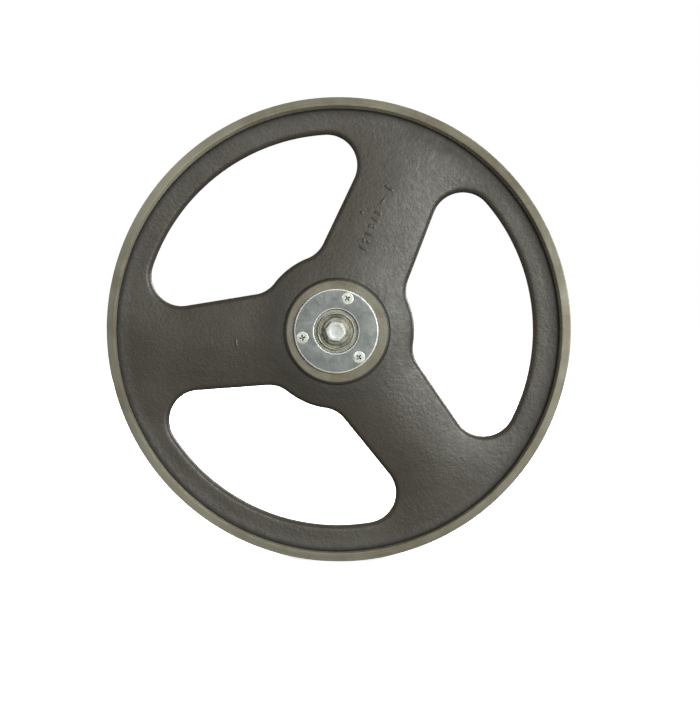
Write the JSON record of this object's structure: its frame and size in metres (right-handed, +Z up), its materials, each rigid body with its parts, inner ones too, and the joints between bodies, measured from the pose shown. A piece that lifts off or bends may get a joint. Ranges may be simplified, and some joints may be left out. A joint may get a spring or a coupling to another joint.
{
  "type": "three-spoke cast wheel",
  "caption": "Spoked cast-iron wheel with a machined rim, turning on two ball bearings and a stub axle that bolts or clamps into a frame.",
  "frame": {"origin": "on the wheel's axis, in the plane of the axle's mounting shoulder", "axes": "+Y along the axle towards its spigot and the frame that holds it, -Y out of the wheel's front, +Z up"},
  "size_m": [0.3556, 0.0835, 0.3556],
  "materials": {
    "cast_iron": "as-cast and oiled, with machined rim, tread and boss",
    "zinc_plate": "clear zinc plating",
    "bright_screw": "bright zinc plating",
    "zinc_bolt": "bright zinc plating",
    "turned_steel": "turned and oiled",
    "spring_steel": "phosphated spring steel",
    "bearing_steel": "ground and polished",
    "cage_steel": "pressed strip",
    "shield_steel": "pressed strip, oily",
    "seal_rubber": "black nitrile"
  },
  "bodies": {
    "axle": {"axle": "turned_steel", "front_inner_race": "bearing_steel", "rear_inner_race": "bearing_steel", "bearing_spacer": "turned_steel", "end_washer": "turned_steel", "bolt_washer": "zinc_plate", "axle_bolt": "zinc_bolt"},
    "wheel": {"wheel_casting": "cast_iron", "retainer_plate": "zinc_plate", "plate_screws": "bright_screw", "front_outer_race": "bearing_steel", "front_shield_front": "shield_steel", "front_shield_rear": "shield_steel", "rear_outer_race": "bearing_steel", "rear_shield_front": "shield_steel", "rear_shield_rear": "shield_steel", "rear_circlip": "spring_steel", "rear_seal": "seal_rubber"},
    "front_cage": {"front_cage_front": "cage_steel", "front_cage_rear": "cage_steel", "front_cage_rivets": "cage_steel", "front_ball_1": "bearing_steel", "front_ball_2": "bearing_steel", "front_ball_3": "bearing_steel", "front_ball_4": "bearing_steel", "front_ball_5": "bearing_steel", "front_ball_6": "bearing_steel", "front_ball_7": "bearing_steel", "front_ball_8": "bearing_steel"},
    "rear_cage": {"rear_cage_front": "cage_steel", "rear_cage_rear": "cage_steel", "rear_cage_rivets": "cage_steel", "rear_ball_1": "bearing_steel", "rear_ball_2": "bearing_steel", "rear_ball_3": "bearing_steel", "rear_ball_4": "bearing_steel", "rear_ball_5": "bearing_steel", "rear_ball_6": "bearing_steel", "rear_ball_7": "bearing_steel", "rear_ball_8": "bearing_steel"}
  },
  "joints": [
    {"name": "wheel_spin", "type": "hinge", "parent": "axle", "child": "wheel", "pos_m": [0, 0, 0], "axis": [0, -1, 0], "continuous": true},
    {"name": "front_cage_spin", "type": "hinge", "parent": "axle", "child": "front_cage", "pos_m": [0, 0, 0], "axis": [0, -1, 0], "continuous": true},
    {"name": "rear_cage_spin", "type": "hinge", "parent": "axle", "child": "rear_cage", "pos_m": [0, 0, 0], "axis": [0, -1, 0], "continuous": true}
  ],
  "couplings": [
    {"joint": "front_cage_spin", "follows": "wheel_spin", "ratio": 0.6184},
    {"joint": "rear_cage_spin", "follows": "wheel_spin", "ratio": 0.6184}
  ]
}
